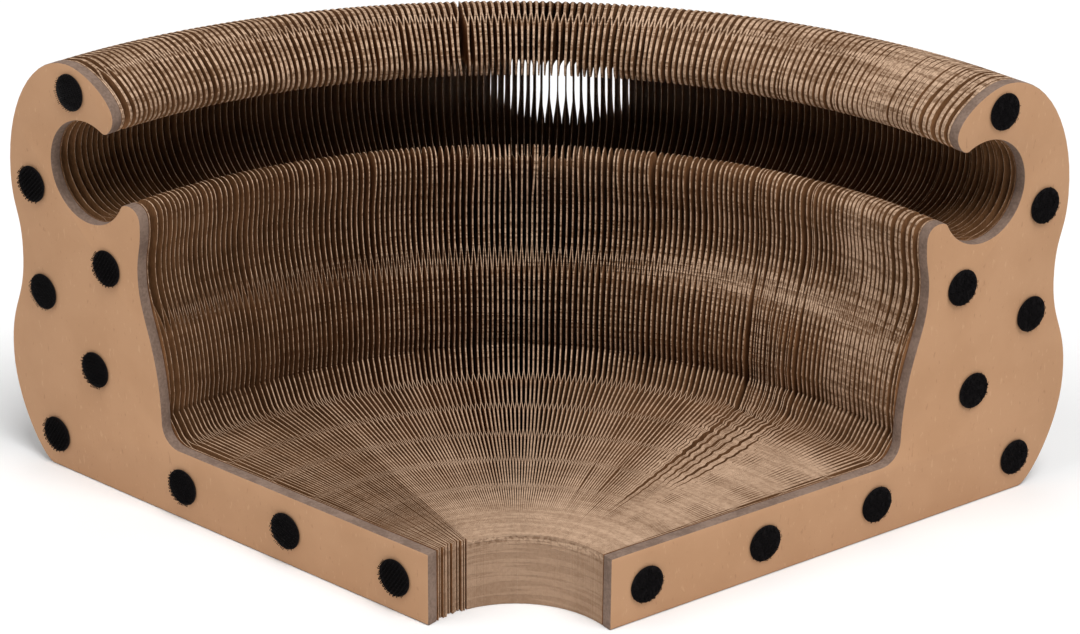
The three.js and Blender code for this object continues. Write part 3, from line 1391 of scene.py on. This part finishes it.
    def lay(self, at: Points, spacing: np.ndarray) -> tuple[np.ndarray, np.ndarray]:
        """Lays a sheet between its neighbours. The first and last ones lie flat on their boards.

        Args:
            at: The sheet's points.
            spacing: The even spacing of the sheets at each point, in metres.

        Returns:
            How far each point lies from its even place, in spacings, and the sheet's thickness there.
        """
        left, right = (self.room(at, side) for side in Side)
        thickness = self.thickness(at, (left + right) / 2 * spacing)
        if at.sheet in (0, self.sheets - 1):
            return np.full_like(at.along, self.to_board(at.sheet)), thickness
        shift = self.drift(at) + self.tear(at)
        for split in self.splits:
            shift = shift + split.shift(at.sheet) * split.reach(at)
        pull = self.pull(at) * (1 if at.sheet % 2 == 0 else -1)
        to_glued = pull < 0 if at.sheet == 1 else pull > 0
        reach = np.where(to_glued & (at.sheet in (1, self.sheets - 2)), 1.0, 0.5)
        room = np.where(pull > 0, right, left)
        opened = np.maximum(spacing - self.spacing, self.least_turn_room * self.spacing)
        turn = np.minimum(spacing / opened, self.most_turn)
        tight = self.tight_pair + (1 - self.tight_pair) * self.pressed(at)
        draw = reach * turn * np.clip(room - tight * thickness / spacing, 0, None)
        return self.within_ends(at.sheet, shift) + self.to_board(at.sheet) + draw * pull, thickness

    def lift(self, at: Points) -> np.ndarray:
        """How far the floor has risen towards the wall, which it does in the middle of the fan.

        Args:
            at: The sheet's points.

        Returns:
            The rises.
        """
        middle = math.sin(math.pi * at.sheet / (self.sheets - 1)) ** self.rise_power
        low = ease((0, self.outline.floor_height), at.up) * ease_out(self.rise_levels, at.up)
        by_wall = ease(self.rise_run, at.along) * ease_out(self.rise_end, at.along)
        return self.rise * middle * low * by_wall

    def _near_inner_end(self, at: Points) -> np.ndarray:
        """How near each point is to its sheet's inner end, which is loose, from 0 to 1."""
        return 1 - fraction((0, self.loose_run), at.along)

    def slip(self, at: Points) -> np.ndarray:
        """How far each point of a sheet has slid outwards along the sheet."""
        return self.slips[at.sheet] * self._near_inner_end(at)

    def clump(self, at: Points) -> np.ndarray:
        """How far each point of a loose sheet has gone to the right with its clump."""
        return self.clumps[at.sheet] * self._near_inner_end(at)


@dataclass
class Cell:
    """The sheets between two bodies of the fan, each standing at its share of their fold."""

    name: str
    left: str
    right: str
    left_angle: float
    angle: float
    first_sheet: int
    shares: list[float]
    across: list[float]
    stands_for: tuple[str, ...] = ()


@dataclass
class PaperFan:
    """All the sheets between the boards, one piece for each fold. Crease levels are in millimetres."""

    outline: Outline
    fan: Fan
    sheets_per_leaf: int = 8
    end_sheets: int = 4
    curve_steps: int = 8
    crease_levels: tuple[float, ...] = (26, 60, 96, 106, 116, 122, 128, 138, 147, 155, 163, 171.5)
    torn_step: float = 0.8 * MM
    thinnest: float = 0.12 * MM
    thickest: float = 1.2 * MM
    shade_angle: float = 40
    group: str = "paper"
    share: str = "share"

    def __post_init__(self) -> None:
        """Plans the cells and mixes the finishes."""
        self.cells = self._plan()
        sheets = sum(len(cell.shares) for cell in self.cells)
        self.comb = Honeycomb(self.outline, sheets, self.spacing)
        self.face = PaperFace().material()
        self.edge = PaperEdge().material()

    @property
    def spacing(self) -> float:
        """The sheets' spacing in the closed stack."""
        return self.fan.leaf_pitch / self.sheets_per_leaf

    def _plan(self) -> list[Cell]:
        """Lists the cells from the left board to the right one."""
        inner = (self._inner_cell(number) for number in range(1, self.fan.leaves))
        return [self._end_cell(Side.LEFT), *inner, self._end_cell(Side.RIGHT)]

    def _end_cell(self, side: Side) -> Cell:
        """Plans the cell between a board and the leaf next to it.

        Args:
            side: The board's side.

        Returns:
            The cell.
        """
        fan = self.fan
        steps = [step + 0.5 for step in range(self.end_sheets)]
        shares = [step / (self.end_sheets + 0.5) for step in steps]
        across = [step * self.spacing - fan.leaf_pitch / 2 for step in steps]
        if side is Side.RIGHT:
            leaf, board = fan.leaf(fan.leaves), fan.board(side)
            first = self.end_sheets + (fan.leaves - 1) * self.sheets_per_leaf
            angle = fan.leaf_angle(fan.leaves)
            return Cell("cells_right_end", leaf, board, angle, fan.board_fold, first, shares, across)
        board, leaf = fan.board(side), fan.leaf(1)
        shares = [1 - share for share in reversed(shares)]
        across = [-offset for offset in reversed(across)]
        return Cell("cells_left_end", board, leaf, fan.board_angle(side), fan.board_fold, 0, shares, across)

    def _inner_cell(self, number: int) -> Cell:
        """Plans the cell to the right of a leaf. The last one stands for the last leaf too.

        Args:
            number: The leaf's number.

        Returns:
            The cell.
        """
        fan = self.fan
        leaf, after = fan.leaf(number), fan.leaf(number + 1)
        shares = [(step + 0.5) / self.sheets_per_leaf for step in range(self.sheets_per_leaf)]
        return Cell(
            name=f"cells_{number:02d}",
            left=leaf,
            right=after,
            left_angle=fan.leaf_angle(number),
            angle=fan.leaf_fold,
            first_sheet=self.end_sheets + (number - 1) * self.sheets_per_leaf,
            shares=shares,
            across=[(share - 0.5) * fan.leaf_pitch for share in shares],
            stands_for=(leaf, after) if number == fan.leaves - 1 else (leaf,),
        )

    def _crease_strips(self) -> None:
        """Creases the open sheet along each strip and where the sheets change partners between two strips."""
        comb = self.comb
        floor = self.outline.floor_height
        turns = (0.0, 0.5 - comb.crossing, 0.5, 0.5 + comb.crossing)
        for strip in range(-1, comb.last_strip + 1):
            lean = comb.back_lean if strip >= comb.last_strip - 1 else comb.wall_lean
            for turn in turns:
                self._crease((comb.strip_place(strip + turn), floor, 0), (1, lean, 0))
        for step in (-1, 0, 1):
            place = (comb.back_swap + step * comb.back_swap_run, self.outline.track_height, 0)
            self._crease(place, (1, comb.back_slant, 0))
            self._crease(place, (1, -comb.back_slant, 0))

    def _pattern(self, torn: bool) -> bpy.types.Object:
        """Cuts one flat sheet out, with creases along the glued strips and across the wall and hook.

        Args:
            torn: Whether the sheet waves, which takes many more creases across the floor.

        Returns:
            The flat sheet.
        """
        sheet = Bench.cut_out("sheet_pattern", self.outline, self.curve_steps)
        Bench.edit(sheet)
        self._crease_strips()
        for level in self.crease_levels:
            self._crease((0, level * MM, 0), (0, 1, 0))
        if torn:
            for place in np.arange(*self.comb.torn_run, self.torn_step):
                self._crease((place, 0, 0), (1, 0, 0))
        bpy.ops.mesh.select_all(action="SELECT")
        bpy.ops.mesh.quads_convert_to_tris(quad_method="BEAUTY", ngon_method="BEAUTY")
        Bench.clear()
        sheet.vertex_groups.new(name=self.group)
        sheet.data.attributes.new(self.share, "FLOAT", "POINT")
        sheet.data.materials.append(self.face)
        sheet.data.materials.append(self.edge)
        return sheet

    @staticmethod
    def _crease(place: Triple, across: Triple) -> None:
        """Cuts all that is open along one line."""
        bpy.ops.mesh.select_all(action="SELECT")
        bpy.ops.mesh.bisect(plane_co=place, plane_no=across)

    def _sheet(self, pattern: bpy.types.Object, cell: Cell, index: int) -> bpy.types.Object:
        """Copies the pattern and stands it in its place in a cell.

        Args:
            pattern: The flat sheet.
            cell: The cell that it belongs to.
            index: Its number in the cell.

        Returns:
            The sheet, with no thickness yet and with its share of the fold at each point.
        """
        sheet = Bench.copy(pattern)
        flat = Bench.places(pattern)
        at = Points(cell.first_sheet + index, flat[:, 0], flat[:, 1])
        even = self.fan.leaf_fold / self.sheets_per_leaf
        shift, thickness = self.comb.lay(at, self.spacing + at.along * even)
        share = cell.shares[index] + shift * even / cell.angle
        slid = at.along + self.comb.slip(at)
        across = cell.across[index] + self.comb.clump(at)
        risen = at.up + self.comb.lift(at)
        hinge = self.fan.hinge(cell.left, cell.right)
        Bench.put(sheet, self.fan.stand(hinge, cell.left_angle + share * cell.angle, slid, across, risen))
        sheet.data.attributes[self.share].data.foreach_set("value", share.astype(np.float32))
        self._grade(sheet, thickness)
        return sheet

    def _grade(self, sheet: bpy.types.Object, thickness: np.ndarray) -> None:
        """Marks how thick a sheet is at each of its points.

        Args:
            sheet: The sheet.
            thickness: Its thickness at each point.
        """
        grade = fraction((self.thinnest, self.thickest), thickness)
        group = sheet.vertex_groups[self.group]
        for index, weight in enumerate(grade):
            group.add([index], float(weight), "REPLACE")

    def _build_cell(self, cell: Cell, plain: bpy.types.Object, torn: bpy.types.Object) -> bpy.types.Object:
        """Builds the sheets of one cell as one piece, with their thickness.

        Args:
            cell: What to build.
            plain: The flat sheet.
            torn: The same sheet, with the creases of a torn one.

        Returns:
            The finished piece.
        """
        sheets = []
        for index in range(len(cell.shares)):
            pattern = torn if self.comb.is_torn(cell.first_sheet + index) else plain
            sheets.append(self._sheet(pattern, cell, index))
        piece = Bench.join(cell.name, sheets)
        wall = piece.modifiers.new("thickness", "SOLIDIFY")
        wall.thickness = self.thickest
        wall.offset = 0
        wall.vertex_group = self.group
        wall.thickness_vertex_group = self.thinnest / self.thickest
        wall.material_offset_rim = 1
        Bench.apply(piece, wall)
        Bench.smooth(piece, self.shade_angle)
        piece.vertex_groups.clear()
        self._open_with_fold(piece, cell)
        if cell.stands_for:
            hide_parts(*cell.stands_for)
        return piece

    def _open_with_fold(self, piece: bpy.types.Object, cell: Cell) -> None:
        """Bakes the piece's place into its mesh and drops each point's share of the fold. The shares, the
        hinge and the middle of the fold are read but not used, so the piece does not turn with its fold.

        Args:
            piece: The cell's piece.
            cell: Its plan.
        """
        shares = np.empty(len(piece.data.vertices), np.float32)
        piece.data.attributes[self.share].data.foreach_get("value", shares)
        hinge = self.fan.hinge(cell.left, cell.right)
        middle = cell.left_angle + cell.angle / 2
        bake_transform(piece)
        piece.data.attributes.remove(piece.data.attributes[self.share])

    def build(self) -> None:
        """Builds every cell."""
        plain, torn = self._pattern(False), self._pattern(True)
        for cell in self.cells:
            piece = self._build_cell(cell, plain, torn)
            LOG.info("%s: %d sheets, %d faces", piece.name, len(cell.shares), len(piece.data.polygons))
        Bench.drop(plain)
        Bench.drop(torn)


@dataclass
class EndBoard:
    """A thick board at one end of the fan."""

    outline: Outline
    fan: Fan
    side: Side
    thickness: float = 5 * MM
    edge_round: float = 0.5 * MM
    edge_steps: int = 2
    curve_steps: int = 14
    shade_angle: float = 40

    @property
    def angle(self) -> float:
        """The board's heading."""
        return self.fan.board_angle(self.side)

    @property
    def outward(self) -> Vector:
        """The direction out of the fan."""
        return Vector((math.cos(self.angle), -math.sin(self.angle), 0)) * self.side.value

    @property
    def heading(self) -> Vector:
        """The direction along the board, away from its inner end."""
        return Vector((math.sin(self.angle), math.cos(self.angle), 0))

    def _blank(self) -> bpy.types.Object:
        """Cuts the board out flat, gives it its thickness and rounds its edges.

        Returns:
            The flat board.
        """
        board = Bench.cut_out(f"{self.side.name.lower()}_kraft_board", self.outline, self.curve_steps)
        Bench.edit(board)
        bpy.ops.mesh.extrude_region_move(TRANSFORM_OT_translate={"value": (0, 0, self.thickness)})
        bpy.ops.mesh.select_all(action="SELECT")
        bpy.ops.mesh.normals_make_consistent(inside=False)
        bpy.ops.mesh.select_all(action="DESELECT")
        bpy.ops.object.mode_set(mode="OBJECT")
        for edge in board.data.edges:
            start, end = (board.data.vertices[index].co.z for index in edge.vertices)
            edge.select = abs(start - end) < self.thickness / 2
        bpy.ops.object.mode_set(mode="EDIT")
        bpy.ops.mesh.select_mode(type="EDGE")
        bpy.ops.mesh.bevel(offset=self.edge_round, segments=self.edge_steps, affect="EDGES")
        Bench.clear()
        return board

    def build(self, face: bpy.types.Material, edge: bpy.types.Material) -> None:
        """Builds the board in its place.

        Args:
            face: The finish of its two faces.
            edge: The finish of its cut edge.
        """
        board = self._blank()
        board.data.materials.append(face)
        board.data.materials.append(edge)
        for polygon in board.data.polygons:
            polygon.material_index = 0 if abs(polygon.normal.z) > FACES_UP else 1
        flat = Bench.places(board)
        across = self.side.value * (self.fan.board_gap + flat[:, 2])
        last = 1 if self.side is Side.LEFT else self.fan.leaves
        body = self.fan.board(self.side)
        hinge = self.fan.hinge(body, self.fan.leaf(last))
        Bench.put(board, self.fan.stand(hinge, self.angle, flat[:, 0], across, flat[:, 1]))
        Bench.edit(board)
        bpy.ops.mesh.normals_make_consistent(inside=False)
        Bench.smooth(board, self.shade_angle)
        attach(board, body)
        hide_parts(body)
        LOG.info("%s: %d faces", board.name, len(board.data.polygons))


@dataclass
class DotSet:
    """The touch-fastener dots of one board. Turns are in radians, and jitter is a share of the pitch."""

    board: EndBoard
    kind: Fastener
    count: int = 9
    radius: float = 7.5 * MM
    backing: float = 0.5 * MM
    backing_round: float = 0.2 * MM
    backing_steps: int = 2
    sides: int = 48
    strand: float = 0.09 * MM
    strand_sides: int = 5
    hook_height: float = 0.85 * MM
    hook_bend: float = 0.42 * MM
    hook_steps: int = 3
    hook_turn: float = math.pi / 4
    hook_pitch: float = 0.72 * MM
    hook_jitter: float = 0.1
    hook_spin: float = 0.5
    hook_sink: float = 0.05 * MM
    loop_radius: float = 0.5 * MM
    loop_cut: float = 0.1 * MM
    loop_steps: int = 10
    loop_count: int = 330
    loop_lean: float = 0.7
    shade_angle: float = 50

    @staticmethod
    def _rod(sides: int, radius: float, length: float) -> bpy.types.Object:
        """Makes an upright cylinder that stands on Z 0.

        Args:
            sides: The number of its sides.
            radius: Its radius.
            length: Its length.

        Returns:
            The cylinder.
        """
        Bench.clear()
        bpy.ops.mesh.primitive_cylinder_add(
            vertices=sides, radius=radius, depth=length, location=(0, 0, length / 2)
        )
        bpy.ops.object.transform_apply(location=True)
        return bpy.context.object

    def _backing(self) -> bpy.types.Object:
        """Makes the round backing, lying on Z 0.

        Returns:
            The backing.
        """
        disc = self._rod(self.sides, self.radius, self.backing)
        bevel = disc.modifiers.new("rim", "BEVEL")
        bevel.width = self.backing_round
        bevel.segments = self.backing_steps
        bevel.limit_method = "ANGLE"
        Bench.apply(disc, bevel)
        return disc

    def _hook(self) -> bpy.types.Object:
        """Makes one hook: a stem that bends over at its top.

        Returns:
            The hook.
        """
        stem = self.hook_height - self.hook_bend
        hook = self._rod(self.strand_sides, self.strand, stem)
        for polygon in hook.data.polygons:
            polygon.select = polygon.normal.z > FACES_UP
        bpy.ops.object.mode_set(mode="EDIT")
        bpy.ops.mesh.select_mode(type="FACE")
        top = Vector((0, 0, stem))
        for step in range(1, self.hook_steps + 1):
            angle = step * self.hook_turn
            spot = Vector((1 - math.cos(angle), 0, math.sin(angle))) * self.hook_bend
            spot.z += stem
            bpy.ops.mesh.extrude_region_move(TRANSFORM_OT_translate={"value": spot - top})
            bpy.ops.transform.rotate(value=-self.hook_turn, orient_axis="Y", center_override=spot)
            top = spot
        Bench.clear()
        return hook

    def _loop(self) -> bpy.types.Object:
        """Makes one loop: a ring of yarn that stands on the backing, cut off below.

        Returns:
            The loop.
        """
        Bench.clear()
        bpy.ops.mesh.primitive_torus_add(
            major_radius=self.loop_radius,
            minor_radius=self.strand,
            major_segments=self.loop_steps,
            minor_segments=self.strand_sides - 1,
            rotation=(math.pi / 2, 0, 0),
        )
        loop = bpy.context.object
        bpy.ops.object.transform_apply(rotation=True)
        Bench.edit(loop)
        bpy.ops.mesh.bisect(plane_co=(0, 0, -self.loop_cut), plane_no=(0, 0, 1), clear_inner=True)
        Bench.clear()
        return loop

    def _loop_spots(self, draw: random.Random) -> Iterable[Matrix]:
        """Scatters the loops over the backing.

        Args:
            draw: Where their places and turns come from.

        Yields:
            Where each loop stands, and how it is turned.
        """
        for _ in range(self.loop_count):
            reach = self.radius * math.sqrt(draw.random())
            turn = draw.uniform(0, FULL_TURN)
            spot = Vector((reach * math.cos(turn), reach * math.sin(turn), self.backing))
            lean = Matrix.Rotation(draw.uniform(-self.loop_lean, self.loop_lean), 4, "X")
            yield Matrix.Translation(spot) @ Matrix.Rotation(draw.uniform(0, math.pi), 4, "Z") @ lean

    def _hook_spots(self, draw: random.Random) -> Iterable[Matrix]:
        """Sets the hooks in rows on the backing, which face to and fro.

        Args:
            draw: Where their unevenness comes from.

        Yields:
            Where each hook stands, and how it is turned.
        """
        rows = int(2 * self.radius / self.hook_pitch)
        corner = Vector((self.radius, self.radius, 0))
        jitter = (-self.hook_jitter, self.hook_jitter)
        for row in range(rows + 1):
            for place in range(rows + 1):
                spot = Vector((row, place, 0)) * self.hook_pitch - corner
                spot += Vector((draw.uniform(*jitter), draw.uniform(*jitter), 0)) * self.hook_pitch
                if spot.length > self.radius - self.strand:
                    continue
                turn = (row % 2) * math.pi + draw.uniform(-self.hook_spin, self.hook_spin)
                spot.z = self.backing - self.hook_sink
                yield Matrix.Translation(spot) @ Matrix.Rotation(turn, 4, "Z")

    def _model(self, material: bpy.types.Material) -> bpy.types.Object:
        """Makes one dot, lying on Z 0 with its strands up, for all the others to be copied from.

        Args:
            material: Its finish.

        Returns:
            The dot.
        """
        draw = random.Random(SEED)
        is_hook = self.kind is Fastener.HOOK
        strand = self._hook() if is_hook else self._loop()
        pile = []
        for spot in self._hook_spots(draw) if is_hook else self._loop_spots(draw):
            twin = Bench.copy(strand)
            twin.data.transform(spot)
            pile.append(twin)
        Bench.drop(strand)
        model = Bench.join(f"{self.kind.value}_model", [self._backing(), *pile])
        model.data.materials.append(material)
        return model

    def build(self, material: bpy.types.Material) -> None:
        """Builds the dots in their places on the board.

        Args:
            material: Their finish.
        """
        body = self.board.fan.board(self.board.side)
        outward = self.board.outward
        turn = Matrix((self.board.heading, outward.cross(self.board.heading), outward)).transposed().to_4x4()
        draw = random.Random(SEED)
        model = self._model(material)
        for number in range(1, self.count + 1):
            node = f"{self.kind.value}_dot_{number}"
            low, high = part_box(node)
            reach = Vector(map(abs, outward)).dot(high - low) / 2 - self._half_width(outward)
            back = (low + high) / 2 - outward * reach
            dot = Bench.copy(model)
            Bench.rename(dot, f"{self.kind.value}_pad_{number}")
            spin = Matrix.Rotation(draw.uniform(0, FULL_TURN), 4, "Z")
            dot.data.transform(Matrix.Translation(back) @ turn @ spin)
            Bench.smooth(dot, self.shade_angle)
            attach(dot, body)
            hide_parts(node)
            LOG.info("%s: %d faces", dot.name, len(dot.data.polygons))
        Bench.drop(model)

    def _half_width(self, outward: Vector) -> float:
        """How much of a turned disc's box along the outward direction comes from its radius."""
        return 2 * self.radius * abs(outward.x * outward.y)


@dataclass(frozen=True)
class Studio:
    """The camera, the soft lamps and the white floor."""

    camera_place: Triple = (39.3 * MM, -1065.7 * MM, 530 * MM)
    yaw: float = -1.986
    pitch: float = 23.237
    roll: float = 0.522
    image_width: float = 1080
    focal_pixels: float = 2900
    sensor: float = 36
    sight: float = 100
    floor_size: float = 12
    floor_drop: float = 0.2 * MM
    floor_tone: Colour = (0.96, 0.96, 0.96)
    sky_light: float = 0.2
    key_from: Triple = (0.28, -0.33, 0.9)
    key_light: float = 2.35
    fill_from: Triple = (-0.58, -0.28, 0.76)
    fill_light: float = 0.83
    back_from: Triple = (0.0, 0.5, 0.87)
    back_light: float = 0.28
    softness: float = 36
    lamp_distance: float = 3

    def _camera(self) -> None:
        """Sets the camera at the photograph's viewing angle."""
        yaw, pitch, roll = (math.radians(angle) for angle in (self.yaw, self.pitch, self.roll))
        forward = Vector((math.sin(yaw) * math.cos(pitch), math.cos(yaw) * math.cos(pitch), -math.sin(pitch)))
        level = Vector((math.cos(yaw), -math.sin(yaw), 0))
        rise = level.cross(forward)
        right = level * math.cos(roll) + rise * math.sin(roll)
        up = rise * math.cos(roll) - level * math.sin(roll)
        bpy.ops.object.camera_add()
        camera = bpy.context.object
        turn = Matrix((right, up, -forward)).transposed().to_4x4()
        camera.matrix_world = Matrix.Translation(self.camera_place) @ turn
        camera.data.sensor_width = self.sensor
        camera.data.lens = self.focal_pixels / self.image_width * self.sensor
        camera.data.clip_end = self.sight
        bpy.context.scene.camera = camera

    def _lamp(self, name: str, source: Triple, light: float) -> None:
        """Adds a broad soft lamp far away.

        Args:
            name: The lamp's name.
            source: The direction that it shines from.
            light: Its strength.
        """
        turn = (-Vector(source)).to_track_quat("-Z", "Y").to_euler()
        bpy.ops.object.light_add(type="SUN", location=Vector(source) * self.lamp_distance, rotation=turn)
        lamp = bpy.context.object
        lamp.name = name
        lamp.data.energy = light
        lamp.data.angle = math.radians(self.softness)

    def _floor(self) -> None:
        """Lays the white floor, which keeps the shadow."""
        Bench.clear()
        bpy.ops.mesh.primitive_plane_add(size=self.floor_size, location=(0, 0, -self.floor_drop))
        floor = bpy.context.object
        floor.name = "studio_floor"
        graph = Graph.of_material("studio_white")
        floor.data.materials.append(graph.surface(Base_Color=self.floor_tone, Roughness=1.0))

    def _sky(self) -> None:
        """Fills the room with even light and shows it white."""
        world = bpy.data.worlds.new("studio_sky")
        bpy.context.scene.world = world
        graph = Graph(world)
        rays = ("Is Camera Ray", "Is Glossy Ray", "Is Transmission Ray")
        camera, glossy, through = (graph.add("ShaderNodeLightPath", output=ray) for ray in rays)
        seen = graph.ramp(camera + glossy + through, (0, 1))
        light = self.sky_light + (1 - self.sky_light) * seen
        sky = graph.add("ShaderNodeBackground", inputs={"Strength": light})
        graph.add("ShaderNodeOutputWorld", inputs={"Surface": sky})

    def build(self) -> None:
        """Sets up the studio."""
        Bench.clear()
        self._camera()
        self._sky()
        self._floor()
        self._lamp("key_lamp", self.key_from, self.key_light)
        self._lamp("fill_lamp", self.fill_from, self.fill_light)
        self._lamp("back_lamp", self.back_from, self.back_light)
        bpy.context.scene.view_settings.view_transform = "Standard"


def main() -> None:
    """Builds the studio, the sheets, the boards and the dots."""
    logging.basicConfig(level=logging.INFO)
    outline = Outline()
    fan = Fan()
    Studio().build()
    PaperFan(SheetOutline(), fan).build()
    face, edge = BoardFace().material(), BoardEdge().material()
    for side, kind in ((Side.LEFT, Fastener.HOOK), (Side.RIGHT, Fastener.LOOP)):
        board = EndBoard(outline, fan, side)
        board.build(face, edge)
        DotSet(board, kind).build(FastenerBlack(kind).material())


if __name__ == "__main__":
    main()
